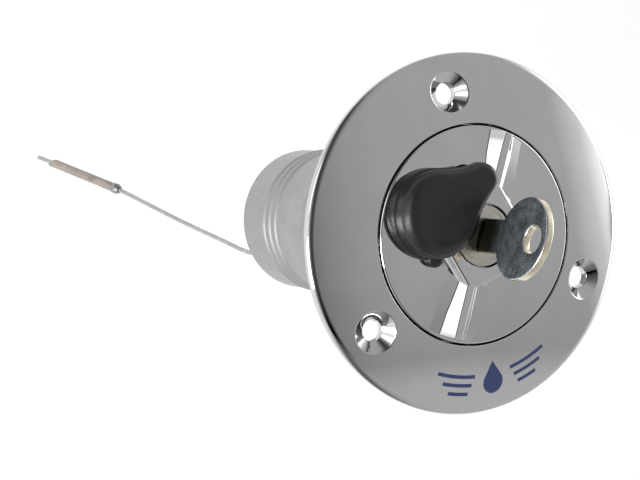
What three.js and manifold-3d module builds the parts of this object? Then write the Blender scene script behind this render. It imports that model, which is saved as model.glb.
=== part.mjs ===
// Locking deck fill cap for a 38 mm hose: a domed stainless flange cast with its hose neck, a
// screw cap with a key lock and a swinging dust cover, and the retaining wire that hangs below.
// Millimetres, +Z up out of the deck, origin at the centre of the flange's underside.
import * as THREE from 'three';
import { mergeVertices } from 'three/addons/utils/BufferGeometryUtils.js';
import Module from 'manifold-3d';

const wasm = await Module();
wasm.setup();

// ---- driving dimensions -------------------------------------------------------------------
const GAP = 0.3;              // room left between pieces that touch
const ROUND_SIDES = 56;       // facets round the large turned parts
const SMALL_SIDES = 24;       // facets round the small turned parts
const THREAD_STEPS = 16;      // steps in one turn of a thread

const DOME_RADIUS = 165;      // the face is one shallow sphere across flange and cap
const DOME_TOP = 8.2;
const FLANGE_R = 45;
const RIM_HEIGHT = 1.1;       // straight side wall of the flange, above its chamfer
const EDGE_ROUND = 1.8;       // rounded edge between the dome and the side wall
const SCREW_CIRCLE_R = 35.1;   // at the underside
const SCREW_LEAN = 8;          // degrees; the holes lean outwards at the domed face
const SCREW_BEARINGS = [90, 210, 330];
const SCREW_HOLE_R = 2.7;
const COUNTERSINK_R = 5.3;

const CAP_R = 27.07;
const RECESS_R = 27.45;
const SEAT_Z = 0.15;          // floor of the recess that the seal ring is pressed against
const HEAD_UNDERSIDE_Z = 1.2;
const WELL_R = 29.3;
const THROAT_R = 23.4;
const THROAT_END_Z = -24;
const NECK_R = 19;
const NECK_BORE_R = 17.4;
const NECK_TOP_Z = -50;
const NECK_END_Z = -82.7;
const RIB_ZS = [-64.1, -67.3, -70.5];
const RIB_HEIGHT = 0.45;

const THREAD_PITCH = 4;       // the cap rises this much in one turn
const THREAD_TURNS = 2.25;
const THREAD_ROOT_WIDTH = 1.9;
const THREAD_CREST_WIDTH = 1;
const CAP_THREAD_ROOT_R = 21.4;
const CAP_THREAD_CREST_R = 22.8;
const THROAT_THREAD_CREST_R = 22;
const THREAD_TOP_Z = -2.6;
const BARREL_BORE_R = 18.2;
const BARREL_END_Z = -15;
const CAP_PLATE_Z = 0.5;      // underside of the cap's plate, inside the barrel

const BAR_BEARING = 63.6;     // the two grip bars, the hub and the key lie on this diameter
const BAR_END_R = 26.2;
const BAR_TOP_Z = 10;
const HUB_TOP_Z = 10.3;

const LOCK_BORE_R = 7.95;
const LOCK_FACE_R = 7.6;
const LOCK_FACE_Z = 10;
const HOUSING_R = 6.6;
const HOUSING_BORE_R = 5.2;
const PLUG_R = 4.9;
const PLUG_END_Z = -15.3;
const TAIL_END_Z = -17.3;
const TAIL_SIDE = 5;
const WAFER_ZS = [5, 2.4, -0.2, -2.8, -5.4];
const WAFER_THICKNESS = 1;
const SPRING_OFFSET = 3.35;   // the wafer springs lie beside the keyway

const KEY_THICKNESS = 2.1;
const BLADE_HALF_WIDTH = 3;
const BLADE_TIP_Z = -11.2;
const NECK_HALF_WIDTH = 3.6;
const BOW_R = 10.4;
const BOW_CENTRE_Z = 28;
const BOW_HOLE_R = 3.4;
const BOW_HOLE_Z = 32.6;

const COVER_PIVOT = [12.83, 6.2];   // along and across the bars' diameter
const COVER_CENTRE = [1.3, 15.3];
const COVER_R = 11.3;
const COVER_END_R = 4.3;
const COVER_WAIST_R = 25;     // the hollow curve between the round part and the narrow end
const COVER_TOP_Z = 15.3;
const COVER_EDGE_ROUND = 3;
const COVER_WALL = 1.6;
const COVER_CLEARANCE = 0.4;
const COVER_TAB_BEARING = 199; // the lift tab, seen from the middle of the round part
const COVER_TAB_R = 2.2;
const STUD_R = 1.5;
const STUD_HEAD_R = 2.4;

const WIRE_R = 0.65;
const SLEEVE_R = 1.35;
const SLEEVE_BORE_R = WIRE_R + GAP;

// Route of the retaining wire: out of the crimp, down the neck, then springing aside below it.
const WIRE_ROUTE = [
  [-6.2, -3.7, -28.8], [-6.3, -3.8, -38], [-7.4, -4.7, -52], [-9.8, -6.1, -67], [-12.3, -7.1, -81],
  [-13.7, -7.2, -92], [-15.9, -3.7, -105], [-19.1, 1, -119.5], [-22, 6.1, -135], [-24.2, 10.6, -150],
  [-25.1, 12, -156], [-28.7, 17.8, -180], [-29.6, 19.2, -186], [-30.8, 20.7, -192],
];
const SLEEVE_START = new THREE.Vector3(-24.2, 10.6, -150);
const SLEEVE_END = new THREE.Vector3(-29.6, 19.2, -186);
const COLLAR_LENGTH = 3.2;

// ---- materials ----------------------------------------------------------------------------
function finish(color, roughness, metalness) {
  return new THREE.MeshStandardMaterial({ color, roughness, metalness });
}

const polishedSteel = finish(0xb9babd, 0.12, 1);
const plainSteel = finish(0x9c9da0, 0.35, 1);
const lockMetal = finish(0xaaa59c, 0.3, 1);
const keyPlate = finish(0x59656b, 0.2, 1);
const brass = finish(0xb08d4a, 0.3, 1);
const blackRubber = finish(0x1b1b1d, 0.55, 0);
const nitrile = finish(0x111111, 0.7, 0);
const sleeveMetal = finish(0x9a8672, 0.45, 0.6);

// ---- solids -------------------------------------------------------------------------------
// A closed three.js geometry becomes a manifold solid with its faces pointing out.
function solid(geometry) {
  geometry.deleteAttribute('normal');
  geometry.deleteAttribute('uv');
  const merged = mergeVertices(geometry, 1e-4);
  const position = merged.attributes.position.array;
  const index = merged.index.array;
  const triangles = [];
  let volume = 0;
  for (let i = 0; i < index.length; i += 3) {
    const [a, b, c] = [index[i], index[i + 1], index[i + 2]];
    if (a === b || b === c || c === a) continue;
    triangles.push([a, b, c]);
    const [p, q, r] = [a, b, c].map((k) => new THREE.Vector3().fromArray(position, 3 * k));
    volume += p.dot(q.cross(r));
  }
  const outward = volume > 0 ? triangles : triangles.map(([a, b, c]) => [a, c, b]);
  return new wasm.Manifold(new wasm.Mesh({
    numProp: 3,
    vertProperties: new Float32Array(position),
    triVerts: new Uint32Array(outward.flat()),
  }));
}

function add(...solids) {
  return solids.reduce((sum, next) => sum.add(next));
}

function cut(body, ...tools) {
  return tools.reduce((left, tool) => left.subtract(tool), body);
}

const vectors = (points) => points.map(([x, y]) => new THREE.Vector2(x, y));

// A closed [radius, z] outline turned about Z.
function turned(outline, sides = SMALL_SIDES) {
  const closed = [...outline, outline[0]];
  return solid(new THREE.LatheGeometry(vectors(closed), sides).rotateX(Math.PI / 2));
}

function cylinder(radius, z0, z1, x = 0, y = 0, sides = SMALL_SIDES) {
  const geometry = new THREE.CylinderGeometry(radius, radius, z1 - z0, sides);
  return solid(geometry.rotateX(Math.PI / 2).translate(x, y, (z0 + z1) / 2));
}

function box(x0, x1, y0, y1, z0, z1) {
  const geometry = new THREE.BoxGeometry(x1 - x0, y1 - y0, z1 - z0);
  return solid(geometry.translate((x0 + x1) / 2, (y0 + y1) / 2, (z0 + z1) / 2));
}

// An [x, y] outline raised from z0 to z1, with a rounded edge of the given size inside it.
function raised(outline, z0, z1, round = 0, steps = 3) {
  const geometry = new THREE.ExtrudeGeometry(new THREE.Shape(vectors(outline)), {
    depth: z1 - z0 - 2 * round,
    bevelEnabled: round > 0,
    bevelThickness: round,
    bevelSize: round,
    bevelOffset: -round,
    bevelSegments: steps,
  });
  return solid(geometry.translate(0, 0, z0 + round));
}

// A [y, z] outline drawn out along X.
function drawnAlongX(outline, x0, x1) {
  const geometry = new THREE.ExtrudeGeometry(new THREE.Shape(vectors(outline)), {
    depth: x1 - x0,
    bevelEnabled: false,
  });
  const axes = new THREE.Matrix4().makeBasis(
    new THREE.Vector3(0, 1, 0),
    new THREE.Vector3(0, 0, 1),
    new THREE.Vector3(1, 0, 0),
  );
  return solid(geometry.applyMatrix4(axes).translate(x0, 0, 0));
}

// A round section swept along a curve.
function swept(curve, radius, sides, steps) {
  const section = new THREE.Shape();
  for (let i = 0; i < sides; i++) {
    const angle = (2 * Math.PI * i) / sides;
    const point = [radius * Math.cos(angle), radius * Math.sin(angle)];
    if (i === 0) section.moveTo(...point);
    else section.lineTo(...point);
  }
  return new THREE.ExtrudeGeometry(section, { steps, extrudePath: curve, bevelEnabled: false });
}

// A right-handed thread ridge: a straight bar wound round Z, wide at its root.
function threadRidge(rootR, crestR, startAngle) {
  const bar = new THREE.BoxGeometry(1, 1, 1, THREAD_STEPS * THREAD_TURNS, 1, 1);
  const position = bar.attributes.position;
  const drop = THREAD_PITCH * THREAD_TURNS;
  for (let i = 0; i < position.count; i++) {
    const along = position.getX(i) + 0.5;
    const atRoot = position.getY(i) < 0;
    const side = Math.sign(position.getZ(i));
    const radius = atRoot ? rootR : crestR;
    const width = atRoot ? THREAD_ROOT_WIDTH : THREAD_CREST_WIDTH;
    const angle = startAngle + along * THREAD_TURNS * 2 * Math.PI;
    const z = THREAD_TOP_Z - drop * (1 - along) + (side * width) / 2;
    position.setXYZ(i, radius * Math.cos(angle), radius * Math.sin(angle), z);
  }
  return solid(bar);
}

const radians = THREE.MathUtils.degToRad;

function onCircle(radius, bearing) {
  return [radius * Math.cos(radians(bearing)), radius * Math.sin(radians(bearing))];
}

function arc([x, y], radius, from, to, steps) {
  return Array.from({ length: steps + 1 }, (_, i) => {
    const [dx, dy] = onCircle(radius, from + ((to - from) * i) / steps);
    return [x + dx, y + dy];
  });
}

const domeZ = (r) => DOME_TOP - DOME_RADIUS + Math.sqrt(DOME_RADIUS ** 2 - r ** 2);

function domeArc(from, to, steps) {
  return Array.from({ length: steps + 1 }, (_, i) => {
    const r = from + ((to - from) * i) / steps;
    return [r, domeZ(r)];
  });
}

// ---- flange and neck ----------------------------------------------------------------------
function fillerBody() {
  const roundInner = FLANGE_R - EDGE_ROUND;
  const edge = new THREE.QuadraticBezierCurve(
    new THREE.Vector2(FLANGE_R, RIM_HEIGHT),
    new THREE.Vector2(FLANGE_R, domeZ(FLANGE_R)),
    new THREE.Vector2(roundInner, domeZ(roundInner)),
  );
  const ribs = [...RIB_ZS].reverse().flatMap((z) => [
    [NECK_R, z - 1.1], [NECK_R + RIB_HEIGHT, z - 0.3], [NECK_R + RIB_HEIGHT, z + 0.3], [NECK_R, z + 1.1],
  ]);
  const outline = [
    [WELL_R, 0], [FLANGE_R - 0.4, 0], [FLANGE_R, 0.4],
    ...edge.getPoints(3).map((p) => [p.x, p.y]),
    ...domeArc(39.5, RECESS_R + 0.3, 3),
    [RECESS_R, domeZ(RECESS_R) - 0.3], [RECESS_R, SEAT_Z],
    [THROAT_R, SEAT_Z], [THROAT_R, THROAT_END_Z],
    [NECK_BORE_R, -44], [NECK_BORE_R, NECK_END_Z], [NECK_R - 0.3, NECK_END_Z],
    [NECK_R, NECK_END_Z + 0.3], ...ribs, [NECK_R, NECK_TOP_Z],
    [26, THROAT_END_Z], [26, -9], [WELL_R, -6],
  ];
  const top = domeZ(SCREW_CIRCLE_R);
  const screwHole = turned([
    [0, -3], [SCREW_HOLE_R, -3], [SCREW_HOLE_R, top + SCREW_HOLE_R - COUNTERSINK_R],
    [COUNTERSINK_R + 2, top + 2], [0, top + 2],
  ], 20).rotate([0, SCREW_LEAN, 0]).translate(SCREW_CIRCLE_R, 0, 0);
  const holes = SCREW_BEARINGS.map((bearing) => screwHole.rotate([0, 0, bearing]));
  const thread = threadRidge(THROAT_R + 0.4, THROAT_THREAD_CREST_R, Math.PI);
  return cut(add(turned(outline, ROUND_SIDES), thread), ...holes);
}

// ---- cap ----------------------------------------------------------------------------------
// The hub is a diamond with clipped tips and round sides, along the bars' diameter.
function hubOutline(grow = 0) {
  const side = arc([0, 0], 11.2 + grow, 57, 123, 6);
  const tip = [13.2 + grow, 1.1 + grow / 2];
  const upper = [tip, ...side, [-tip[0], tip[1]]];
  return [...upper, ...upper.map(([x, y]) => [-x, -y])];
}

// One raised bar across the cap, which the hub splits in two: level top, steep flanks, spread foot.
function gripBars() {
  const half = [[6.4, 4.5], [6.4, 5.8], [3.7, 7.3], [1.2, BAR_TOP_Z - 0.2], [0.7, BAR_TOP_Z]];
  const outline = [...half, ...[...half].reverse().map(([y, z]) => [-y, z])];
  const reach = cylinder(BAR_END_R, 4, BAR_TOP_Z + 1, 0, 0, ROUND_SIDES);
  return drawnAlongX(outline, -CAP_R, CAP_R).intersect(reach);
}

function capShell() {
  const ringGroove = [[23.2, HEAD_UNDERSIDE_Z], [23.2, 2.95], [26, 2.95], [26, HEAD_UNDERSIDE_Z]];
  const outline = [
    [0, CAP_PLATE_Z], [BARREL_BORE_R, CAP_PLATE_Z], [BARREL_BORE_R, BARREL_END_Z],
    [CAP_THREAD_ROOT_R, BARREL_END_Z], [CAP_THREAD_ROOT_R, HEAD_UNDERSIDE_Z], ...ringGroove,
    [CAP_R, HEAD_UNDERSIDE_Z], [CAP_R, domeZ(CAP_R) - 0.3], ...domeArc(CAP_R - 0.3, 0, 4),
  ];
  const hub = raised(hubOutline(), 5, HUB_TOP_Z, 0.8, 2);
  const boss = cylinder(2.9, 5, HUB_TOP_Z, ...COVER_PIVOT, 20);
  // The thread starts half a turn from the throat's, which isn't in the turned frame.
  const thread = threadRidge(CAP_THREAD_ROOT_R - 0.4, CAP_THREAD_CREST_R, -radians(BAR_BEARING));
  const lockBore = turned([
    [0, CAP_PLATE_Z - 1], [HOUSING_R + 0.35, CAP_PLATE_Z - 1], [HOUSING_R + 0.35, 6.3],
    [LOCK_BORE_R, 6.3], [LOCK_BORE_R, 12], [0, 12],
  ]);
  return cut(
    add(turned(outline, ROUND_SIDES), gripBars(), hub, boss, thread),
    lockBore, cylinder(STUD_R + GAP, 5.5, 11, ...COVER_PIVOT, 16),
  );
}

// A ring of round section about Z.
function ring(radius, z, sectionR, sectionSides, sides) {
  return turned(arc([radius, z], sectionR, 0, 360, sectionSides).slice(0, -1), sides);
}

// ---- lock ---------------------------------------------------------------------------------
function lockHousing() {
  const body = turned([
    [HOUSING_BORE_R, BARREL_END_Z], [HOUSING_R, BARREL_END_Z], [HOUSING_R, 6.6], [LOCK_FACE_R, 6.6],
    [LOCK_FACE_R, 8.3], [7.1, 8.3], [7.1, 7.3], [5.9, 7.3], [5.9, 8.3], [HOUSING_BORE_R, 8.3],
  ]);
  return cut(body, box(-5.9, 5.9, -2.4, 2.4, -8, 7));
}

function housingNut() {
  return cut(cylinder(10.4, CAP_PLATE_Z - GAP - 3.2, CAP_PLATE_Z - GAP, 0, 0, 6), cylinder(6.9, -4, 1));
}

// The wafers ride in cross slots, and each one has a pocket beside the keyway for its spring.
function lockPlug() {
  const body = turned([
    [0, PLUG_END_Z], [PLUG_R, PLUG_END_Z], [PLUG_R, 8.6], [LOCK_FACE_R, 8.6],
    [LOCK_FACE_R, LOCK_FACE_Z - 0.25], [LOCK_FACE_R - 0.25, LOCK_FACE_Z], [0, LOCK_FACE_Z],
  ]);
  const halfTail = TAIL_SIDE / 2;
  const tail = box(-halfTail, halfTail, -halfTail, halfTail, TAIL_END_Z, PLUG_END_Z + 0.5);
  const keyway = box(-3.3, 3.3, -1.35, 1.35, -12, 11);
  const pockets = WAFER_ZS.flatMap((z) => [
    box(-6, 6, -2.4, 2.4, z - 0.8, z + 0.8),
    box(-2.4, 3.6, 2.3, 6, z - 0.95, z + 0.95),
  ]);
  return cut(add(body, tail), keyway, ...pockets, cylinder(1.9, -18, -13.2, 0, 0, 16));
}

function wafer(z) {
  const half = WAFER_THICKNESS / 2;
  const plate = box(-4.2, 4.2, -2.1, 2.1, z - half, z + half);
  const lug = box(2.5, 3.3, 2, 3.8, z - half, z + half);
  return cut(add(plate, lug), box(-3.3, 3.3, -1.35, 1.35, z - 1, z + 1));
}

// A short coil lying along X between the pocket's end and the wafer's lug.
class Coil extends THREE.Curve {
  constructor(x0, x1, y, z, radius, turns) {
    super();
    Object.assign(this, { x0, x1, y, z, radius, turns });
  }

  getPoint(t, target = new THREE.Vector3()) {
    const angle = 2 * Math.PI * this.turns * t;
    return target.set(
      this.x0 + (this.x1 - this.x0) * t,
      this.y + this.radius * Math.cos(angle),
      this.z + this.radius * Math.sin(angle),
    );
  }
}

function waferSpring(z) {
  return solid(swept(new Coil(-2, 2.1, SPRING_OFFSET, z, 0.5, 4), 0.16, 5, 24));
}

function lockCam() {
  const outline = [...arc([0, 0], 5.4, 57, 303, 10), [14.5, -3.6], ...arc([14.5, 0], 3.6, -60, 60, 4), [14.5, 3.6]];
  const half = TAIL_SIDE / 2 + GAP;
  const plate = raised(outline, -17.4, -15.6);
  return cut(plate, box(-half, half, -half, half, -18, -15)).rotate([0, 0, 180]);
}

function camWasher() {
  return turned([[1.9, -18.5], [4.2, -18.5], [4.2, -17.7], [1.9, -17.7]], 20);
}

// Shoulder screw in the plug's tail; the wire's eyelet turns freely on its shoulder.
function camScrew() {
  const shaft = turned([
    [0, -22], [2.6, -22], [2.6, -18.8], [1.6, -18.8], [1.6, -14], [0, -14],
  ], 20);
  const head = cylinder(4.4, -23.6, -21.2, 0, 0, 6);
  return cut(add(shaft, head), box(-5, 5, -0.5, 0.5, -24, -22.7));
}

// ---- key ----------------------------------------------------------------------------------
function key() {
  const join = Math.asin(NECK_HALF_WIDTH / BOW_R) / radians(1);
  const bow = arc([0, BOW_CENTRE_Z], BOW_R, -90 + join, 270 - join, 32);
  const shoulderZ = LOCK_FACE_Z + GAP;
  const cuts = WAFER_ZS.flatMap((z, i) => {
    const depth = BLADE_HALF_WIDTH - [0.5, 1, 0.3, 0.8, 0.6][i];
    return [[-BLADE_HALF_WIDTH, z + 1.1], [-depth, z + 0.3], [-depth, z - 0.3], [-BLADE_HALF_WIDTH, z - 1.1]];
  });
  const outline = [
    ...bow, [-NECK_HALF_WIDTH, shoulderZ], [-BLADE_HALF_WIDTH, shoulderZ], ...cuts,
    [-BLADE_HALF_WIDTH, BLADE_TIP_Z + 1.8], [-0.9, BLADE_TIP_Z], [0.9, BLADE_TIP_Z],
    [BLADE_HALF_WIDTH, BLADE_TIP_Z + 1.8], [BLADE_HALF_WIDTH, shoulderZ], [NECK_HALF_WIDTH, shoulderZ],
  ];
  const half = KEY_THICKNESS / 2;
  const upright = new THREE.Shape(vectors(outline));
  const hole = arc([0, BOW_HOLE_Z], BOW_HOLE_R, 0, 360, 20).slice(0, -1);
  upright.holes.push(new THREE.Path(vectors(hole)));
  const geometry = new THREE.ExtrudeGeometry(upright, { depth: KEY_THICKNESS, bevelEnabled: false });
  return solid(geometry.rotateX(Math.PI / 2).translate(0, half, 0));
}

// ---- dust cover ---------------------------------------------------------------------------
// Outline of a round part and a narrow end, joined by two hollow curves, shrunk by an inset.
function coverOutline(inset) {
  const from = new THREE.Vector2(...COVER_CENTRE);
  const to = new THREE.Vector2(...COVER_PIVOT);
  const span = from.distanceTo(to);
  const heading = to.clone().sub(from).angle() / radians(1);
  const [big, small, waist] = [COVER_R - inset, COVER_END_R - inset, COVER_WAIST_R + inset];
  const reach = [big + waist, small + waist];
  const along = (reach[0] ** 2 - reach[1] ** 2 + span ** 2) / (2 * span);
  const across = Math.sqrt(reach[0] ** 2 - along ** 2);
  const atBig = Math.atan2(across, along) / radians(1);
  const atSmall = Math.atan2(across, span - along) / radians(1);
  const flat = [
    ...arc([0, 0], big, atBig, 360 - atBig, 26),
    ...arc([along, -across], waist, 180 - atBig, atSmall, 3).slice(1, -1),
    ...arc([span, 0], small, atSmall - 180, 180 - atSmall, 10),
    ...arc([along, across], waist, -atSmall, atBig - 180, 3).slice(1, -1),
  ];
  return flat.map(([x, y]) => {
    const turnedPoint = new THREE.Vector2(x, y).rotateAround(new THREE.Vector2(), radians(heading));
    return turnedPoint.add(from).toArray();
  });
}

// The underside follows the dome and the hub with clearance, so the cover lies close to both.
function dustCover() {
  const shell = raised(coverOutline(0), 0, COVER_TOP_Z, COVER_EDGE_ROUND, 4);
  const [tabX, tabY] = onCircle(COVER_R - 0.5, COVER_TAB_BEARING);
  const tab = cylinder(COVER_TAB_R, 4, 10.4, COVER_CENTRE[0] + tabX, COVER_CENTRE[1] + tabY, 16);
  const faceOutline = [[0, -1], [50, -1], ...domeArc(50, 0, 6).map(([r, z]) => [r, z + COVER_CLEARANCE])];
  const face = turned(faceOutline, 48);
  const hub = raised(hubOutline(COVER_CLEARANCE), 0, HUB_TOP_Z + COVER_CLEARANCE);
  const pivotRoom = cylinder(6.2, 0, HUB_TOP_Z + COVER_CLEARANCE, ...COVER_PIVOT, 24);
  const hollow = cut(
    raised(coverOutline(COVER_WALL), 0, COVER_TOP_Z - COVER_WALL, 1.2, 2),
    cylinder(4.6, 0, 20, ...COVER_PIVOT, 24),
  );
  const studHole = add(
    cylinder(STUD_R + GAP, 9, 12.6, ...COVER_PIVOT, 16),
    cylinder(STUD_HEAD_R + GAP, 11.9, 13.9, ...COVER_PIVOT, 20),
  );
  return cut(add(shell, tab), face, hub, pivotRoom, hollow, studHole);
}

function pivotStud() {
  return add(cylinder(STUD_R, 5.9, 12.5, ...COVER_PIVOT, 16), cylinder(STUD_HEAD_R, 12.2, 13.6, ...COVER_PIVOT, 20));
}

// ---- retaining wire -----------------------------------------------------------------------
function cableEyelet() {
  const [x, y] = WIRE_ROUTE[0];
  const reach = Math.hypot(x, y);
  const tab = box(4, reach + 1, -1.8, 1.8, -20.5, -19.5);
  const crimp = cylinder(1.6, WIRE_ROUTE[0][2] + GAP, -19.5, reach, 0, 14);
  const lug = add(cylinder(5.2, -20.5, -19.5, 0, 0, 24), tab, crimp);
  const bearing = Math.atan2(y, x) / radians(1);
  return cut(lug, cylinder(2.9, -21, -19, 0, 0, 24)).rotate([0, 0, bearing]);
}

function retainingCable() {
  const route = WIRE_ROUTE.map((point) => new THREE.Vector3(...point));
  return solid(swept(new THREE.CatmullRomCurve3(route, false, 'centripetal'), WIRE_R, 8, 46));
}

// A turned piece threaded on the wire, from one point of the sleeve's line to another.
function onWire(outline, from, to) {
  const direction = to.clone().sub(from).normalize();
  const turn = new THREE.Quaternion().setFromUnitVectors(new THREE.Vector3(0, 0, 1), direction);
  const geometry = new THREE.LatheGeometry(vectors([...outline, outline[0]]), 16).rotateX(Math.PI / 2);
  return solid(geometry.applyQuaternion(turn).translate(from.x, from.y, from.z));
}

function sleeveCollar() {
  const outline = [
    [SLEEVE_BORE_R, 0], [1.9, 0], [1.9, 0.8], [1.5, 1.8], [1.5, COLLAR_LENGTH], [SLEEVE_BORE_R, COLLAR_LENGTH],
  ];
  return onWire(outline, SLEEVE_START, SLEEVE_END);
}

function endSleeve() {
  const length = SLEEVE_START.distanceTo(SLEEVE_END);
  const start = COLLAR_LENGTH + GAP;
  const outline = [[SLEEVE_BORE_R, start], [SLEEVE_R, start], [SLEEVE_R, length], [SLEEVE_BORE_R, length]];
  return onWire(outline, SLEEVE_START, SLEEVE_END);
}

// ---- assembly -----------------------------------------------------------------------------
function mesh(name, shape, material) {
  const { vertProperties, triVerts } = shape.getMesh();
  const geometry = new THREE.BufferGeometry();
  geometry.setAttribute('position', new THREE.BufferAttribute(vertProperties, 3));
  geometry.setIndex(new THREE.BufferAttribute(triVerts, 1));
  geometry.computeVertexNormals();
  const piece = new THREE.Mesh(geometry, material);
  piece.name = name;
  return piece;
}

const group = new THREE.Group();
group.add(
  mesh('filler_body', fillerBody(), polishedSteel),
  mesh('cable_eyelet', cableEyelet(), plainSteel),
  mesh('retaining_cable', retainingCable(), plainSteel),
  mesh('sleeve_collar', sleeveCollar(), plainSteel),
  mesh('end_sleeve', endSleeve(), sleeveMetal),
);

// Everything on the cap is drawn with X along the bars' diameter.
const capGroup = new THREE.Group();
capGroup.rotation.z = radians(BAR_BEARING);
capGroup.add(
  mesh('cap_shell', capShell(), polishedSteel),
  mesh('cap_seal_ring', ring(24.6, 1.55, 1.1, 8, 36), nitrile),
  mesh('lock_housing', lockHousing(), plainSteel),
  mesh('lock_housing_nut', housingNut(), plainSteel),
  mesh('lock_seal_ring', ring(6.5, 7.95, 0.4, 6, 20), nitrile),
  mesh('cover_pivot_stud', pivotStud(), plainSteel),
  mesh('lock_plug', lockPlug(), lockMetal),
  mesh('lock_cam', lockCam(), plainSteel),
  mesh('cam_washer', camWasher(), plainSteel),
  mesh('cam_screw', camScrew(), plainSteel),
  mesh('key', key(), keyPlate),
  mesh('dust_cover', dustCover(), blackRubber),
);
WAFER_ZS.forEach((z, i) => {
  capGroup.add(mesh(`lock_wafer_${i + 1}`, wafer(z), brass));
  capGroup.add(mesh(`wafer_spring_${i + 1}`, waferSpring(z), plainSteel));
});
group.add(capGroup);

export default group;
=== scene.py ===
"""Looks of a locking deck fill cap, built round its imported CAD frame.

Shapes are drawn in millimetres, +Z out of the deck, and become metres in new_piece().
Pieces on the cap are drawn with X along the grip bars, and then turned by BAR_BEARING.
"""
import math

import bmesh
import bpy
from mathutils import Matrix, Vector


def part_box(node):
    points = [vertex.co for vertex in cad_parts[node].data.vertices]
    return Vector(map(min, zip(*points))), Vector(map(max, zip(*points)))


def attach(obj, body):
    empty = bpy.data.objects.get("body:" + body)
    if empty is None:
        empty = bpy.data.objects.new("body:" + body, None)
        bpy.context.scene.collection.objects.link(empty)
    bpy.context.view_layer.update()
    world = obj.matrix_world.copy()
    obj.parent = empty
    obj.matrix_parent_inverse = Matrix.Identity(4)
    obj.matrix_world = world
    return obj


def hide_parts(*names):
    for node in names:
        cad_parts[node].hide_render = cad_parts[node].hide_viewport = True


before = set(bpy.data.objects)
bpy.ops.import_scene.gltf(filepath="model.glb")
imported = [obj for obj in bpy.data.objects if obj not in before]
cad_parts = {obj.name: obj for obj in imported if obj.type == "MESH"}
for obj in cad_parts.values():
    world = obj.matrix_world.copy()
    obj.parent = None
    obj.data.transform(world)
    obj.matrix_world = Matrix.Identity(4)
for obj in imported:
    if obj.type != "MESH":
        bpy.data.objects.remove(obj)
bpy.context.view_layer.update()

MM = 0.001
BAR_BEARING = math.radians(63.6)
TURNED = Matrix.Rotation(BAR_BEARING, 4, "Z")


def node_box(node):
    """Lowest and highest corner of a CAD node, in millimetres."""
    low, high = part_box(node)
    return low / MM, high / MM


# ---- sizes, in millimetres -------------------------------------------------------------------
BODY_LOW, BODY_HIGH = node_box("filler_body")
CAP_LOW, CAP_HIGH = node_box("cap_shell")
FLANGE_R, NECK_END_Z = BODY_HIGH.x, BODY_LOW.z
CAP_R, BARREL_END_Z, HUB_TOP_Z = 27.07, CAP_LOW.z, CAP_HIGH.z
LOCK_FACE_Z = node_box("lock_plug")[1].z
COVER_TOP_Z = node_box("dust_cover")[1].z

DOME_RADIUS, DOME_TOP = 165.0, 8.2
RIM_HEIGHT, EDGE_ROUND = 1.1, 1.8
RECESS_R, SEAT_Z, WELL_R = 27.45, 0.15, 29.3
THROAT_R, THROAT_END_Z = 23.4, -24.0
NECK_R, NECK_BORE_R, NECK_TOP_Z = 19.0, 17.4, -50.0
RIB_ZS, RIB_HEIGHT, RIB_HALF_WIDTH = (-64.1, -67.3, -70.5), 0.45, 1.15
SCREW_CIRCLE_R, SCREW_BEARINGS = 35.1, (90, 210, 330)
SCREW_LEAN = math.tan(math.radians(8))
SCREW_HOLE_R, COUNTERSINK_R = 2.7, 5.3
THREAD_PITCH, THREAD_TURNS, THREAD_TOP_Z = 4.0, 2.25, -2.6
HEAD_UNDERSIDE_Z, CAP_PLATE_Z, BARREL_BORE_R = 1.2, 0.5, 18.2
BAR_END_R, BAR_TOP_Z, BAR_TOP_HALF_WIDTH, BAR_SLOPE = 26.2, 10.0, 1.0, 1.04
BAR_FOOT_HALF_WIDTH, BAR_TOE_HALF_WIDTH, BAR_TOE_RISE = 6.4, 3.5, 0.5
HUB_SIDE_R, HUB_TIP_X, HUB_TIP_Y = 11.2, 13.2, 1.1
LOCK_BORE_R, LOCK_FACE_R = 7.95, 7.6
KEY_THICKNESS, BLADE_HALF_WIDTH, KEY_NECK_HALF_WIDTH = 2.1, 3.0, 4.3
BOW_R, BOW_CENTRE_Z, BOW_HOLE_R, BOW_HOLE_Z = 10.4, 28.0, 3.4, 32.6
COVER_PIVOT, COVER_CENTRE = Vector((12.83, 6.2)), Vector((1.3, 15.3))
COVER_R, COVER_END_R, COVER_WAIST_R = 11.3, 4.3, 25.0
COVER_WALL, COVER_CLEARANCE = 1.6, 0.4
COVER_TAB_BEARING, COVER_TAB_R = math.radians(199), 2.2
WIRE_R = 0.65
WIRE_ROUTE = [
    (-6.2, -3.7, -28.8), (-6.3, -3.8, -38), (-7.4, -4.7, -52), (-9.8, -6.1, -67), (-12.3, -7.1, -81),
    (-13.7, -7.2, -92), (-15.9, -3.7, -105), (-19.1, 1, -119.5), (-22, 6.1, -135), (-24.2, 10.6, -150),
    (-25.1, 12, -156), (-28.7, 17.8, -180), (-29.6, 19.2, -186), (-30.8, 20.7, -192),
]
SLEEVE_START, SLEEVE_END = Vector((-24.2, 10.6, -150)), Vector((-29.6, 19.2, -186))
SLEEVE_R, SLEEVE_BORE_R, COLLAR_LENGTH = 1.35, 0.95, 3.2


# ---- outlines --------------------------------------------------------------------------------
def dome_z(r):
    return DOME_TOP - DOME_RADIUS + math.sqrt(DOME_RADIUS**2 - r**2)


def arc(centre, radius, start, end, steps):
    """Points on a circle from one bearing to another, in degrees."""
    turns = [math.radians(start + (end - start) * i / steps) for i in range(steps + 1)]
    return [(centre[0] + radius * math.cos(a), centre[1] + radius * math.sin(a)) for a in turns]


def circle(radius, sides, centre=(0, 0)):
    return arc(centre, radius, 0, 360, sides)[:-1]


def dome_line(r0, r1, steps):
    radii = [r0 + (r1 - r0) * i / steps for i in range(steps + 1)]
    return [(r, dome_z(r)) for r in radii]


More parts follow.
